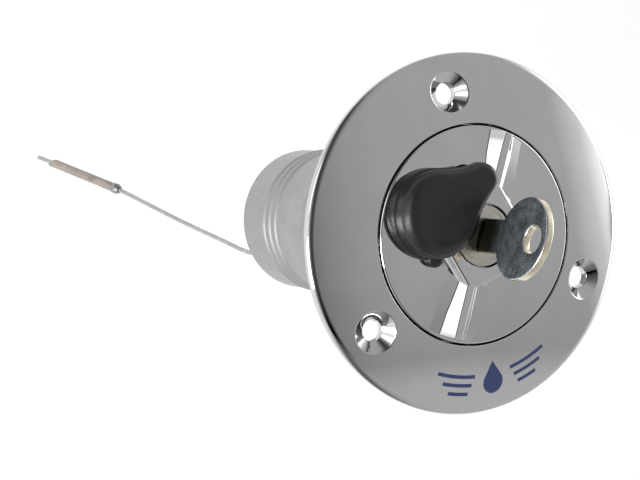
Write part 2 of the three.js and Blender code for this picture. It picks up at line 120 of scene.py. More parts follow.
def rounded(corners, steps=6):
    """A closed outline from (x, y) or (x, y, radius) corners, with each radius as an arc."""
    outline = []
    for i, corner in enumerate(corners):
        here = Vector(corner[:2])
        if len(corner) == 2:
            outline.append(tuple(here))
            continue
        before = (Vector(corners[i - 1][:2]) - here).normalized()
        after = (Vector(corners[(i + 1) % len(corners)][:2]) - here).normalized()
        half = before.angle(after) / 2
        reach = corner[2] / math.tan(half)
        centre = here + (before + after).normalized() * corner[2] / math.sin(half)
        spoke = here + before * reach - centre
        sweep = math.pi - 2 * half
        side = 1 if before.x * after.y - before.y * after.x < 0 else -1
        for k in range(steps + 1):
            turn = Matrix.Rotation(side * sweep * k / steps, 2)
            outline.append(tuple(centre + turn @ spoke))
    return outline


def inset(outline, distance):
    """A counter-clockwise outline moved inwards, each corner along its two sides' middle."""
    moved = []
    for i, point in enumerate(outline):
        here = Vector(point)
        a = (here - Vector(outline[i - 1])).normalized()
        b = (Vector(outline[(i + 1) % len(outline)]) - here).normalized()
        inward = Vector((-a.y - b.y, a.x + b.x)).normalized()
        moved.append(here + inward * distance / max(0.5, inward.dot(Vector((-a.y, a.x)))))
    return moved


# ---- meshes ----------------------------------------------------------------------------------
def new_piece(name, points, faces, turn=Matrix.Identity(4)):
    """A mesh object from points in millimetres, with doubled points merged and faces outward."""
    data = bpy.data.meshes.new(name)
    data.from_pydata([turn @ Vector(p) * MM for p in points], [], faces)
    bm = bmesh.new()
    bm.from_mesh(data)
    bmesh.ops.remove_doubles(bm, verts=bm.verts, dist=1e-7)
    bmesh.ops.dissolve_degenerate(bm, edges=bm.edges, dist=1e-8)
    bmesh.ops.recalc_face_normals(bm, faces=bm.faces)
    bm.to_mesh(data)
    bm.free()
    piece = bpy.data.objects.new(name, data)
    bpy.context.scene.collection.objects.link(piece)
    return piece


def skin(name, rings, closed=False, turn=Matrix.Identity(4)):
    """A surface through rings of points. Open rows of rings end in flat faces."""
    count = len(rings[0])
    points = [p for ring in rings for p in ring]
    faces = []
    for i in range(len(rings) if closed else len(rings) - 1):
        a, b = i * count, (i + 1) % len(rings) * count
        faces += [(a + j, a + (j + 1) % count, b + (j + 1) % count, b + j) for j in range(count)]
    if not closed:
        faces += [tuple(range(count)), tuple(range(len(points) - count, len(points)))]
    return new_piece(name, points, faces, turn)


def lathe(name, outline, sides=192, turn=Matrix.Identity(4)):
    """A closed (radius, z) outline turned about Z."""
    rings = []
    for i in range(sides):
        c, s = math.cos(2 * math.pi * i / sides), math.sin(2 * math.pi * i / sides)
        rings.append([(r * c, r * s, z) for r, z in outline])
    return skin(name, rings, closed=True, turn=turn)


def layered(name, levels, turn=Matrix.Identity(4)):
    """A solid through flat outlines at rising heights: levels are (outline, z)."""
    return skin(name, [[(x, y, z) for x, y in outline] for outline, z in levels], turn=turn)


def plate(name, loops, thickness, bevel, turn=Matrix.Identity(4)):
    """A flat plate in XY, centred on Z, with bevelled edges: the first loop is its outline."""
    curve = bpy.data.curves.new(name, "CURVE")
    curve.dimensions, curve.fill_mode = "2D", "BOTH"
    curve.extrude, curve.bevel_depth = thickness / 2 - bevel, bevel
    curve.bevel_resolution, curve.offset = 3, -bevel
    for loop in loops:
        spline = curve.splines.new("POLY")
        spline.points.add(len(loop) - 1)
        for point, (x, y) in zip(spline.points, loop):
            point.co = (x, y, 0, 1)
        spline.use_cyclic_u = True
    holder = bpy.data.objects.new(name, curve)
    bpy.context.scene.collection.objects.link(holder)
    graph = bpy.context.evaluated_depsgraph_get()
    data = bpy.data.meshes.new_from_object(holder.evaluated_get(graph))
    points = [v.co.copy() for v in data.vertices]
    faces = [tuple(p.vertices) for p in data.polygons]
    bpy.data.objects.remove(holder)
    return new_piece(name, points, faces, turn)


def settle(piece):
    """Applies the piece's modifiers."""
    graph = bpy.context.evaluated_depsgraph_get()
    data = bpy.data.meshes.new_from_object(piece.evaluated_get(graph))
    piece.modifiers.clear()
    piece.data = data
    return piece


def combine(piece, tools, operation):
    for tool in tools:
        step = piece.modifiers.new("combine", "BOOLEAN")
        step.object, step.operation, step.solver = tool, operation, "EXACT"
        settle(piece)
        bpy.data.objects.remove(tool)
    return piece


def exact_normal(point, face_normal):
    """The normal of the dome or of a level face, where the face belongs to one."""
    if abs(face_normal.z) > 0.99999:
        return Vector((0, 0, math.copysign(1, face_normal.z)))
    r = math.hypot(point.x, point.y) / MM
    if r < FLANGE_R and abs(point.z / MM - dome_z(r)) < 0.03:
        dome = Vector((point.x, point.y, point.z - (DOME_TOP - DOME_RADIUS) * MM)).normalized()
        return dome if dome.dot(face_normal) > 0.9995 else None
    return None


def smooth(piece, angle=34):
    """Smooth shading with sharp edges over the angle, and mirror-true domes and level faces."""
    piece.data.shade_smooth()
    piece.data.set_sharp_from_angle(angle=math.radians(angle))
    weigh = piece.modifiers.new("weigh", "WEIGHTED_NORMAL")
    weigh.keep_sharp = True
    settle(piece)
    data = piece.data
    normals = [corner.vector.copy() for corner in data.corner_normals]
    for face in data.polygons:
        for loop in face.loop_indices:
            point = data.vertices[data.loops[loop].vertex_index].co
            normals[loop] = exact_normal(point, face.normal) or normals[loop]
    data.normals_split_custom_set(normals)
    return piece


def thread(name, root_r, crest_r, start):
    """A right-handed thread ridge with rounded edges."""
    steps = int(72 * THREAD_TURNS)
    section = rounded([(root_r, -0.95), (crest_r, -0.5, 0.18), (crest_r, 0.5, 0.18), (root_r, 0.95)], 2)
    rings = []
    for i in range(steps + 1):
        turn = start + 2 * math.pi * THREAD_TURNS * i / steps
        rise = THREAD_TOP_Z - THREAD_PITCH * THREAD_TURNS * (1 - i / steps)
        rings.append([(r * math.cos(turn), r * math.sin(turn), z + rise) for r, z in section])
    return skin(name, rings)


# ---- camera ----------------------------------------------------------------------------------
CAMERA_PLACE = Vector((-0.320241, 0.094387, 0.531804))
CAMERA_AIM = Vector((-0.039811, 0.006765, 0))
CAMERA_UP = Vector((0.20621, 0.97712, -0.05225))
LENS, SENSOR = 141.9, 36.0

camera = bpy.data.objects.new("camera", bpy.data.cameras.new("camera"))
bpy.context.scene.collection.objects.link(camera)
camera.data.lens, camera.data.sensor_width = LENS, SENSOR
camera.data.clip_start, camera.data.clip_end = 0.01, 20
ahead = (CAMERA_AIM - CAMERA_PLACE).normalized()
across = ahead.cross(CAMERA_UP).normalized()
camera.matrix_world = Matrix.Translation(CAMERA_PLACE) @ Matrix(
    (across, across.cross(ahead), -ahead)
).transposed().to_4x4()
bpy.context.scene.camera = camera


# ---- materials -------------------------------------------------------------------------------
MIX_COLOURS_IN, MIX_COLOUR_OUT = (6, 7), 2     # the Mix node's sockets when it mixes colours


class Shader:
    """A Principled material whose colour, roughness and relief come from noise on the piece."""

    def __init__(self, name, metallic=0.0, **constants):
        self.material = bpy.data.materials.new(name)
        self.material.use_nodes = True
        self.tree = self.material.node_tree
        self.surface = self.tree.nodes["Principled BSDF"]
        self.surface.inputs["Metallic"].default_value = metallic
        for socket, value in constants.items():
            self.surface.inputs[socket.replace("_", " ")].default_value = value
        self.place = self.node("ShaderNodeTexCoord").outputs["Object"]

    def node(self, kind, **settings):
        made = self.tree.nodes.new(kind)
        for key, value in settings.items():
            setattr(made, key, value)
        return made

    def link(self, a, b):
        self.tree.links.new(a, b)

    def noise(self, size, detail=3.0, stretch=(1, 1, 1)):
        """Noise with features of about the given size in millimetres, longer along a small stretch."""
        mapping = self.node("ShaderNodeMapping")
        mapping.inputs["Scale"].default_value = [s / (size * MM) for s in stretch]
        self.link(self.place, mapping.inputs["Vector"])
        noise = self.node("ShaderNodeTexNoise")
        noise.inputs["Scale"].default_value = 1.0
        noise.inputs["Detail"].default_value = detail
        self.link(mapping.outputs["Vector"], noise.inputs["Vector"])
        return noise.outputs["Fac"]

    def spread(self, source, low, high, span=(0.3, 0.7)):
        """Maps a noise value to a range."""
        ranged = self.node("ShaderNodeMapRange")
        for socket, value in zip(("From Min", "From Max", "To Min", "To Max"), (*span, low, high)):
            ranged.inputs[socket].default_value = value
        self.link(source, ranged.inputs["Value"])
        return ranged.outputs["Result"]

    def blend(self, factor, first, second):
        """A colour between two, each a colour or a socket."""
        mix = self.node("ShaderNodeMix", data_type="RGBA")
        self.link(factor, mix.inputs["Factor"])
        for index, value in zip(MIX_COLOURS_IN, (first, second)):
            if isinstance(value, tuple):
                mix.inputs[index].default_value = (*value, 1)
            else:
                self.link(value, mix.inputs[index])
        return mix.outputs[MIX_COLOUR_OUT]

    def colour(self, source):
        self.link(source, self.surface.inputs["Base Color"])
        return self

    def roughness(self, source):
        self.link(source, self.surface.inputs["Roughness"])
        return self

    def relief(self, *layers):
        """Bump from (noise, height in millimetres, strength) layers."""
        normal = None
        for source, height, strength in layers:
            bump = self.node("ShaderNodeBump")
            bump.inputs["Distance"].default_value = height * MM
            bump.inputs["Strength"].default_value = strength
            self.link(source, bump.inputs["Height"])
            if normal:
                self.link(normal, bump.inputs["Normal"])
            normal = bump.outputs["Normal"]
        self.link(normal, self.surface.inputs["Normal"])
        return self


def metal(name, light, dark, patch, rough, relief=(), **constants):
    """A metal that drifts between two tones in patches, with roughness between two values."""
    shader = Shader(name, metallic=1.0, **constants)
    shader.colour(shader.blend(shader.spread(shader.noise(patch), 0, 1), light, dark))
    shader.roughness(shader.spread(shader.noise(patch / 3, 5), *rough))
    if relief:
        shader.relief(*[(shader.noise(size, detail), *bump) for size, detail, *bump in relief])
    return shader.material


def polished_steel():
    return metal(
        "polished_steel", (0.585, 0.58, 0.585), (0.555, 0.545, 0.552), 9, (0.035, 0.07),
        relief=[(14, 1, 0.05, 0.02), (0.5, 4, 0.002, 0.04)],
    )


def blasted_steel():
    return metal(
        "blasted_steel", (0.37, 0.367, 0.37), (0.33, 0.327, 0.33), 5, (0.34, 0.42),
        relief=[(0.22, 4, 0.02, 0.35)],
    )


def turned_steel(name="turned_steel"):
    return metal(
        name, (0.60, 0.60, 0.60), (0.50, 0.50, 0.49), 3, (0.22, 0.38), relief=[(0.3, 4, 0.006, 0.3)],
    )


def lock_face_metal():
    return metal(
        "lock_face_metal", (0.56, 0.54, 0.50), (0.48, 0.455, 0.415), 2.5, (0.22, 0.34),
        relief=[(0.25, 4, 0.004, 0.35)],
    )


def key_plating():
    shader = Shader("key_plating", metallic=0.8)
    mottle = shader.spread(shader.noise(3.2, 5), 0, 1, (0.38, 0.62))
    tint = shader.spread(shader.noise(2.1, 3, (1.3, 1, 1)), 0, 1, (0.4, 0.6))
    dark = shader.blend(tint, (0.14, 0.16, 0.165), (0.14, 0.16, 0.185))
    bow = shader.blend(mottle, dark, (0.29, 0.32, 0.335))
    # Painted shade: below the bow the key's colour runs to near-black towards the lock, by height, standing
    # for the shade and dark reflection there. The bow keeps its mottled plating.
    split = shader.node("ShaderNodeSeparateXYZ")
    shader.link(shader.place, split.inputs["Vector"])
    height = shader.spread(split.outputs["Z"], 0, 1, (15 * MM, 21 * MM))
    shader.colour(shader.blend(height, (0.030, 0.029, 0.020), bow))
    shader.roughness(shader.spread(shader.noise(1.2, 4), 0.16, 0.34))
    shader.relief((shader.noise(2.4, 3), 0.05, 0.12), (shader.noise(0.2, 4), 0.004, 0.2))
    return shader.material


def key_edge_metal():
    return metal(
        "key_edge_metal", (0.82, 0.76, 0.62), (0.66, 0.585, 0.44), 1.6, (0.14, 0.3),
        relief=[(0.3, 4, 0.006, 0.25)],
    )


def cover_plastic():
    shader = Shader("cover_plastic", Specular_IOR_Level=0.42)
    patches = shader.spread(shader.noise(4, 4), 0, 1)
    shader.colour(shader.blend(patches, (0.010, 0.010, 0.011), (0.015, 0.015, 0.016)))
    shader.roughness(shader.spread(shader.noise(1.6, 5), 0.27, 0.36))
    shader.relief((shader.noise(0.16, 3), 0.01, 0.22), (shader.noise(5, 1), 0.08, 0.06))
    return shader.material


def nitrile_rubber():
    shader = Shader("nitrile_rubber")
    shader.colour(shader.blend(shader.noise(2), (0.012, 0.012, 0.012), (0.025, 0.025, 0.024)))
    shader.roughness(shader.spread(shader.noise(0.6), 0.5, 0.7))
    shader.relief((shader.noise(0.2), 0.02, 0.3))
    return shader.material


def wafer_brass():
    return metal(
        "wafer_brass", (0.72, 0.55, 0.26), (0.56, 0.40, 0.17), 1.5, (0.25, 0.4),
        relief=[(0.25, 4, 0.006, 0.3)],
    )


def wire_steel():
    return metal(
        "wire_steel", (0.52, 0.52, 0.52), (0.40, 0.40, 0.40), 2, (0.3, 0.45),
        relief=[(0.15, 4, 0.004, 0.3)],
    )


def collar_steel():
    return metal(
        "collar_steel", (0.36, 0.36, 0.365), (0.24, 0.24, 0.245), 1.2, (0.3, 0.5),
        relief=[(0.2, 4, 0.01, 0.4)],
    )


def sleeve_metal():
    """Dull bronze with dark streaks that wind round the sleeve."""
    shader = Shader("sleeve_metal", metallic=0.55)
    streaks = shader.spread(shader.noise(3.2, 4, (1, 1, 0.35)), 0, 1, (0.42, 0.66))
    shader.colour(shader.blend(streaks, (0.37, 0.325, 0.29), (0.20, 0.18, 0.17)))
    shader.roughness(shader.spread(shader.noise(0.8), 0.38, 0.55))
    shader.relief((shader.noise(0.3, 4), 0.02, 0.4))
    return shader.material


def blue_enamel():
    shader = Shader("blue_enamel", Coat_Weight=0.4)
    shader.colour(shader.blend(shader.noise(1.5), (0.006, 0.022, 0.10), (0.01, 0.034, 0.14)))
    shader.roughness(shader.spread(shader.noise(0.5), 0.3, 0.45))
    shader.relief((shader.noise(0.3), 0.005, 0.3))
    return shader.material


STEEL, BLASTED, TURNED_STEEL = polished_steel(), blasted_steel(), turned_steel()
LOCK_FACE, KEY_FACE, KEY_EDGE = lock_face_metal(), key_plating(), key_edge_metal()
COVER_BLACK, RUBBER, BRASS = cover_plastic(), nitrile_rubber(), wafer_brass()
WIRE_GREY, COLLAR_GREY, SLEEVE_BROWN, BLUE = wire_steel(), collar_steel(), sleeve_metal(), blue_enamel()


def paint(piece, *materials, choose=None):
    """Gives the piece its materials. choose(face) says which one a face takes."""
    piece.data.materials.clear()
    for material in materials:
        piece.data.materials.append(material)
    for face in piece.data.polygons:
        face.material_index = choose(face) if choose else 0
    return piece


def place(piece, body, slot, *nodes):
    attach(piece, body)
    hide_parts(*nodes)
    return piece


# ---- retaining wire --------------------------------------------------------------------------
def catmull_rom(points, steps):
    """Points on a centripetal Catmull-Rom curve through the given ones."""
    known = [Vector(p) for p in points]
    known = [2 * known[0] - known[1], *known, 2 * known[-1] - known[-2]]
    line = []
    for p0, p1, p2, p3 in zip(known, known[1:], known[2:], known[3:]):
        t1 = (p1 - p0).length ** 0.5
        t2 = t1 + (p2 - p1).length ** 0.5
        t3 = t2 + (p3 - p2).length ** 0.5
        for i in range(steps):
            t = t1 + (t2 - t1) * i / steps
            a1 = p0.lerp(p1, t / t1)
            a2 = p1.lerp(p2, (t - t1) / (t2 - t1))
            a3 = p2.lerp(p3, (t - t2) / (t3 - t2))
            b1, b2 = a1.lerp(a2, t / t2), a2.lerp(a3, (t - t1) / (t3 - t1))
            line.append(b1.lerp(b2, (t - t1) / (t2 - t1)))
    return [*line, known[-2]]


def carried_frames(line):
    """Two directions square to the line at each point, carried along it without twist."""
    side, frames = None, []
    for i, point in enumerate(line):
        ahead = (line[min(i + 1, len(line) - 1)] - line[max(i - 1, 0)]).normalized()
        side = (side or Vector((0, 1, 0))) - ahead * (side or Vector((0, 1, 0))).dot(ahead)
        side.normalize()
        frames.append((side.copy(), ahead.cross(side)))
    return frames


STRANDS, STRAND_LAY = 6, 7.5        # wires round the core, and the length of one turn of theirs
WRAP_PITCH = 5.2                    # distance between the sleeve's wrap ridges
WIRE_LINE = catmull_rom(WIRE_ROUTE, 26)


def wire_rope():
    """Six steel strands wound round a core. The rope is one skin with a fluted section."""
    frames, travelled, rings = carried_frames(WIRE_LINE), 0.0, []
    for i, (point, (u, v)) in enumerate(zip(WIRE_LINE, frames)):
        travelled += (point - WIRE_LINE[max(i - 1, 0)]).length
        twist = 2 * math.pi * travelled / STRAND_LAY
        ring = []
        for k in range(STRANDS * 6):
            angle = 2 * math.pi * k / (STRANDS * 6)
            flute = abs(math.cos(STRANDS * angle / 2))
            radius = WIRE_R * (0.84 + 0.16 * math.sqrt(flute))
            ring.append(point + radius * (u * math.cos(angle + twist) + v * math.sin(angle + twist)))
        rings.append(ring)
    return skin("wire_rope", rings)


def sleeve_turn():
    """Takes +Z from the origin to the sleeve's line from SLEEVE_START."""
    direction = (SLEEVE_END - SLEEVE_START).normalized()
    rotation = Vector((0, 0, 1)).rotation_difference(direction).to_matrix().to_4x4()
    return Matrix.Translation(SLEEVE_START) @ rotation


def on_sleeve(name, outline, sides=40):
    """A piece on the wire: (radius, distance from SLEEVE_START) turned about the sleeve's line."""
    turn, rings = sleeve_turn(), []
    for i in range(sides):
        c, s = math.cos(2 * math.pi * i / sides), math.sin(2 * math.pi * i / sides)
        rings.append([turn @ Vector((r * c, r * s, z)) for r, z in outline])
    return skin(name, rings, closed=True)


def collar():
    """The sleeve's crimped end: a cone that closes on the wire."""
    outline = rounded([
        (WIRE_R + 0.06, 0, 0.05), (0.95, 0, 0.1), (1.55, 1.3, 0.3), (1.5, COLLAR_LENGTH, 0.15),
        (WIRE_R + 0.06, COLLAR_LENGTH, 0.1),
    ], 4)
    return on_sleeve("collar", outline)


def sleeve():
    """A rolled sleeve: faint wrap ridges wind along it, and its far end is cut at a slant."""
    start, length = COLLAR_LENGTH + 0.3, (SLEEVE_END - SLEEVE_START).length
    turn, sides, steps, rings = sleeve_turn(), 40, 150, []
    for i in range(steps + 1):
        ring = []
        for k in range(sides):
            angle = 2 * math.pi * k / sides
            z = start + (length - start - 1.3 * (1 + math.cos(angle)) * (i / steps) ** 6) * i / steps
            z = min(z, length - 0.65 * (1 + math.cos(angle)) * (i / steps) ** 4)
            wrap = math.cos(2 * math.pi * z / WRAP_PITCH + angle) ** 12
            radius = SLEEVE_R - 0.05 + 0.05 * wrap
            if i in (0, steps):
                radius -= 0.12
            ring.append(turn @ Vector((radius * math.cos(angle), radius * math.sin(angle), z)))
        rings.append(ring)
    bore = circle(SLEEVE_BORE_R, sides)
    inner = [[turn @ Vector((x, y, z)) for x, y in bore] for z in (length - 2, start)]
    return skin("sleeve", rings + inner, closed=True)


rope = paint(smooth(wire_rope(), 60), WIRE_GREY)
ferrule = paint(smooth(collar()), COLLAR_GREY)
end_tube = paint(smooth(sleeve(), 50), SLEEVE_BROWN)
place(rope, "wire_hanger", "wire_steel", "retaining_cable")
place(ferrule, "wire_hanger", "collar_steel", "sleeve_collar")
place(end_tube, "wire_hanger", "sleeve_metal", "end_sleeve")


# ---- flange and neck -------------------------------------------------------------------------
def rib_line(z):
    """Half a wave standing out from the neck, from the lower side to the upper."""
    turns = [math.pi * (2 * i / 12 - 1) for i in range(13)]
    return [(NECK_R + RIB_HEIGHT * (1 + math.cos(a)) / 2, z + RIB_HALF_WIDTH * a / math.pi) for a in turns]


def flange_edge():
    """The rounded edge between the side wall and the dome, as a quadratic curve."""
    p0, p2 = Vector((FLANGE_R, RIM_HEIGHT)), Vector((FLANGE_R - EDGE_ROUND, dome_z(FLANGE_R - EDGE_ROUND)))
    p1 = Vector((FLANGE_R, dome_z(FLANGE_R)))
    return [tuple(p0.lerp(p1, t / 14).lerp(p1.lerp(p2, t / 14), t / 14)) for t in range(15)]


def body_outline():
    return rounded([
        (WELL_R, 0, 0.6), (FLANGE_R - 0.1, 0, 0.35), *flange_edge(),
        *dome_line(FLANGE_R - EDGE_ROUND - 0.3, RECESS_R + 0.5, 20), (RECESS_R, dome_z(RECESS_R), 0.35),
        (RECESS_R, SEAT_Z, 0.3), (THROAT_R, SEAT_Z, 0.3), (THROAT_R, THROAT_END_Z, 4),
        (NECK_BORE_R, -44, 4), (NECK_BORE_R, NECK_END_Z, 0.3), (NECK_R, NECK_END_Z, 0.35),
        *[p for z in reversed(RIB_ZS) for p in rib_line(z)],
        (NECK_R, NECK_TOP_Z, 5), (26, THROAT_END_Z, 3), (26, -9, 1.5), (WELL_R, -6, 0.8),
    ])


def screw_hole(bearing):
    """A countersink whose rim follows the dome, leaning outwards with it."""
    profile = [
        (0, None, -3), (SCREW_HOLE_R, None, -3), (SCREW_HOLE_R, None, 1.75),
        (SCREW_HOLE_R + 0.12, None, 1.95), (COUNTERSINK_R - 0.24, -0.26, 0),
        (COUNTERSINK_R - 0.1, -0.15, 0), (COUNTERSINK_R + 0.02, -0.07, 0),
        (COUNTERSINK_R + 0.14, -0.02, 0), (COUNTERSINK_R + 0.4, 0.08, 0), (COUNTERSINK_R + 0.8, 3, 0),
        (0, 3, 0),
    ]
    rings = []
    for r, above_dome, level in profile:
        ring = []
        for i in range(72):
            x, y = r * math.cos(math.pi * i / 36), r * math.sin(math.pi * i / 36)
            if above_dome is None:
                z = level
            else:
                reach = math.hypot(SCREW_CIRCLE_R + 4.4 * SCREW_LEAN + x, y)
                z = dome_z(reach) + above_dome
            ring.append((SCREW_CIRCLE_R + z * SCREW_LEAN + x, y, z))
        rings.append(ring)
    return skin("screw_hole", rings, turn=Matrix.Rotation(math.radians(bearing), 4, "Z"))


def filler_body():
    body = lathe("flange_and_neck", body_outline(), 256)
    combine(body, [screw_hole(b) for b in SCREW_BEARINGS], "DIFFERENCE")
    combine(body, [thread("ridge", THROAT_R + 0.4, 22, math.pi)], "UNION")
    smooth(body)

    def is_blasted(face):
        r, z = math.hypot(face.center.x, face.center.y) / MM, face.center.z / MM
        return int(z < 0.1 or r < THROAT_R + 0.1)

    return paint(body, STEEL, BLASTED, choose=is_blasted)


place(filler_body(), "deck_body", "polished_steel", "filler_body")


# ---- the mark on the flange: a plain drop between two rows of dashes, in place of the lettering ---
MARK_R, MARK_BEARING, MARK_LIFT = 37.6, -90.0, 0.03
DASH_ROW_GAP, DASH_WIDTH = 2.2, 0.9


def on_dome(name, outline):
    """A thin blue shape lying on the dome, from an (x, y) outline in millimetres."""
    data = bpy.data.meshes.new(name)
    bm = bmesh.new()
    bm.faces.new([bm.verts.new((x, y, 0)) for x, y in outline])
    bmesh.ops.triangulate(bm, faces=bm.faces)
    bmesh.ops.subdivide_edges(bm, edges=bm.edges, cuts=2, use_grid_fill=True)
    sheet = list(bm.faces)
    raised_part = bmesh.ops.extrude_face_region(bm, geom=sheet)
    top = {v for v in raised_part["geom"] if isinstance(v, bmesh.types.BMVert)}
    for v in bm.verts:
        v.co.z = dome_z(math.hypot(v.co.x, v.co.y)) + (MARK_LIFT if v in top else -MARK_LIFT)
        v.co *= MM
    bmesh.ops.recalc_face_normals(bm, faces=bm.faces)
    bm.to_mesh(data)
    bm.free()
    piece = bpy.data.objects.new(name, data)
    bpy.context.scene.collection.objects.link(piece)
    return piece


def drop_outline(height=8.4, radius=2.9):
    """A pointed drop, its tip towards the cap."""
    tip = height - radius
    lean = math.degrees(math.acos(radius / tip))
    bottom = arc((0, 0), radius, 90 + lean, 450 - lean, 40)
    return [(0, tip), *bottom]


def dash_outline(radius, start, end, width):
    outer = arc((0, 0), radius + width / 2, start, end, 12)
    inner = arc((0, 0), radius - width / 2, end, start, 12)
    return outer + inner


def flange_mark():
    """The drop lies at the foot of the face, with three dashes that shorten outwards on each side."""
    shapes = [("mark_drop", [(x, y - MARK_R) for x, y in drop_outline()])]
    for side, side_name in ((-1, "left"), (1, "right")):
        for row in range(3):
            near, far = 8.5 + 1.2 * row, 26 - 3.4 * row
            start, end = sorted((MARK_BEARING + side * near, MARK_BEARING + side * far))
            radius = MARK_R + DASH_ROW_GAP * (row - 1)
            shapes.append((f"mark_dash_{row + 1}_{side_name}", dash_outline(radius, start, end, DASH_WIDTH)))
    for name, outline in shapes:
        piece = paint(on_dome(name, outline), BLUE)
        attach(piece, "deck_body")


flange_mark()


# ---- cap -------------------------------------------------------------------------------------
def cap_outline():
    return rounded([
        (0, CAP_PLATE_Z), (BARREL_BORE_R, CAP_PLATE_Z, 0.8), (BARREL_BORE_R, BARREL_END_Z, 0.4),
        (21.4, BARREL_END_Z, 0.4), (21.4, HEAD_UNDERSIDE_Z, 0.3), (23.2, HEAD_UNDERSIDE_Z, 0.1),
        (23.2, 2.95, 0.2), (26, 2.95, 0.2), (26, HEAD_UNDERSIDE_Z, 0.1), (CAP_R, HEAD_UNDERSIDE_Z, 0.2),
        (CAP_R, dome_z(CAP_R), 0.55), *dome_line(CAP_R - 0.8, 0, 28),
    ])


def hub_outline():
    """A diamond with clipped tips and round sides, along the bars."""
    side = arc((0, 0), HUB_SIDE_R, 57, 123, 24)
    upper = [(HUB_TIP_X, HUB_TIP_Y, 1.0), *side, (-HUB_TIP_X, HUB_TIP_Y, 1.0)]
    return rounded(upper + [(-c[0], -c[1], *c[2:]) for c in upper], 5)


def hub():
    """The raised hub: a rounded top edge, a short slope and a hollow foot that runs into the dome."""
    outline, rings = hub_outline(), []
    for distance, rise in ((-1.5, -0.2), (-1.3, 0.02), (-0.95, 0.13), (-0.6, 0.37), (-0.35, 0.72)):
        rings.append([(x, y, dome_z(math.hypot(x, y)) + rise) for x, y in inset(outline, distance)])
    edge = 0.8
    for distance, z in arc((edge, HUB_TOP_Z - edge), edge, 180, 90, 8):
        rings.append([(x, y, z) for x, y in inset(outline, distance)])
    return skin("hub", rings)


def bar_section(x):
    """The grip bar's (y, z) section: level top, steep flanks and a shallow foot on the dome."""
    side = dome_z(math.hypot(x, 4))
    run = (BAR_TOP_Z - side - BAR_TOE_RISE) / BAR_SLOPE
    toe, foot = min(BAR_TOP_HALF_WIDTH + run, BAR_TOE_HALF_WIDTH), BAR_FOOT_HALF_WIDTH
    ground = dome_z(math.hypot(x, foot))
    right = [
        (foot + 0.5, ground - 1), (foot + 0.5, ground - 0.15), (foot, ground + 0.01),
        (toe, side + BAR_TOE_RISE, 0.7), (BAR_TOP_HALF_WIDTH, BAR_TOP_Z, 0.5),
    ]
    return rounded(right + [(-c[0], *c[1:]) for c in reversed(right)], 8)


def grip_bars():
    """One raised bar across the cap, cut off in a round just inside the cap's edge."""
    along = [1.02 * BAR_END_R * (i / 30 - 1) for i in range(61)]
    bar = skin("bar", [[(x, y, z) for y, z in bar_section(x)] for x in along])
    reach = lathe("reach", rounded([
        (0, 3), (BAR_END_R + 0.1, 3), (BAR_END_R, BAR_TOP_Z + 0.05, 0.6), (0, BAR_TOP_Z + 0.05),
    ], 6), 256)
    combine(bar, [reach], "INTERSECT")
    return bar


def cap_shell():
    cap = lathe("cap_head", cap_outline(), 256)
    boss = layered("boss", [
        (circle(radius, 48, COVER_PIVOT), z)
        for radius, z in ((3.5, 5), (3.3, 7.5), (2.9, 8.1), (2.9, HUB_TOP_Z - 0.3), (2.6, HUB_TOP_Z))
    ])
    combine(cap, [grip_bars(), hub(), boss], "UNION")
    lock_bore = lathe("bore", rounded([
        (0, CAP_PLATE_Z - 1), (6.95, CAP_PLATE_Z - 1), (6.95, 6.3), (LOCK_BORE_R, 6.3),
        (LOCK_BORE_R, HUB_TOP_Z - 0.2), (LOCK_BORE_R + 0.07, HUB_TOP_Z - 0.06),
        (LOCK_BORE_R + 0.35, HUB_TOP_Z + 0.1), (LOCK_BORE_R + 0.35, 12), (0, 12),
    ]), 128)
    # This shift is in metres where lathe() takes millimetres, so the cut misses the pivot stud.
    stud_bore = lathe("pivot", [(0, 5.5), (1.8, 5.5), (1.8, 11), (0, 11)], 40,
                      Matrix.Translation((*(COVER_PIVOT * MM), 0)))
    combine(cap, [lock_bore, stud_bore], "DIFFERENCE")
    combine(cap, [thread("ridge", 21.0, 22.8, -BAR_BEARING)], "UNION")
    cap.data.transform(TURNED)
    smooth(cap)

    def is_turned(face):
        return int(face.center.z < (HEAD_UNDERSIDE_Z + 1.8) * MM and face.center.xy.length < 26.5 * MM)

    return paint(cap, STEEL, TURNED_STEEL, choose=is_turned)


place(cap_shell(), "cap", "polished_steel", "cap_shell")


# ---- lock plug and key -----------------------------------------------------------------------
WAFER_ZS = (5, 2.4, -0.2, -2.8, -5.4)


def box_tool(x0, x1, y0, y1, z0, z1):
    corners = [(x0, y0), (x1, y0), (x1, y1), (x0, y1)]
    return layered("box", [(corners, z0), (corners, z1)])


def lock_plug():
    face_z, face_r = LOCK_FACE_Z, LOCK_FACE_R
    outline = rounded([
        (0, -15.3), (4.9, -15.3, 0.3), (4.9, 8.6, 0.2), (face_r, 8.6, 0.15), (face_r, face_z, 0.28),
        (6.6, face_z), (6.5, face_z - 0.07), (6.3, face_z - 0.07), (6.2, face_z), (0, face_z),
    ], 5)
    plug = lathe("lock_core", outline, 128)
    combine(plug, [box_tool(-2.5, 2.5, -2.5, 2.5, -17.3, -14.8)], "UNION")
    tools = [box_tool(-3.3, 3.3, -1.35, 1.35, -12, 9.7)]
    tools.append(layered("mouth", [
        (rounded([(x, y, 0.3) for x, y in ((3.3, -1.35), (3.3, 1.35), (-3.3, 1.35), (-3.3, -1.35))]), 9.5),
        (rounded([(x, y, 0.5) for x, y in ((3.55, -1.6), (3.55, 1.6), (-3.55, 1.6), (-3.55, -1.6))]), 10.1),
    ]))
    for z in WAFER_ZS:
        tools.append(box_tool(-6, 6, -2.4, 2.4, z - 0.8, z + 0.8))
        tools.append(box_tool(-2.4, 3.6, 2.3, 6, z - 0.95, z + 0.95))
    tools.append(lathe("screw_bore", [(0, -18), (1.9, -18), (1.9, -13.2), (0, -13.2)], 32))
    combine(plug, tools, "DIFFERENCE")
    plug.data.transform(TURNED)
    return paint(smooth(plug), LOCK_FACE)


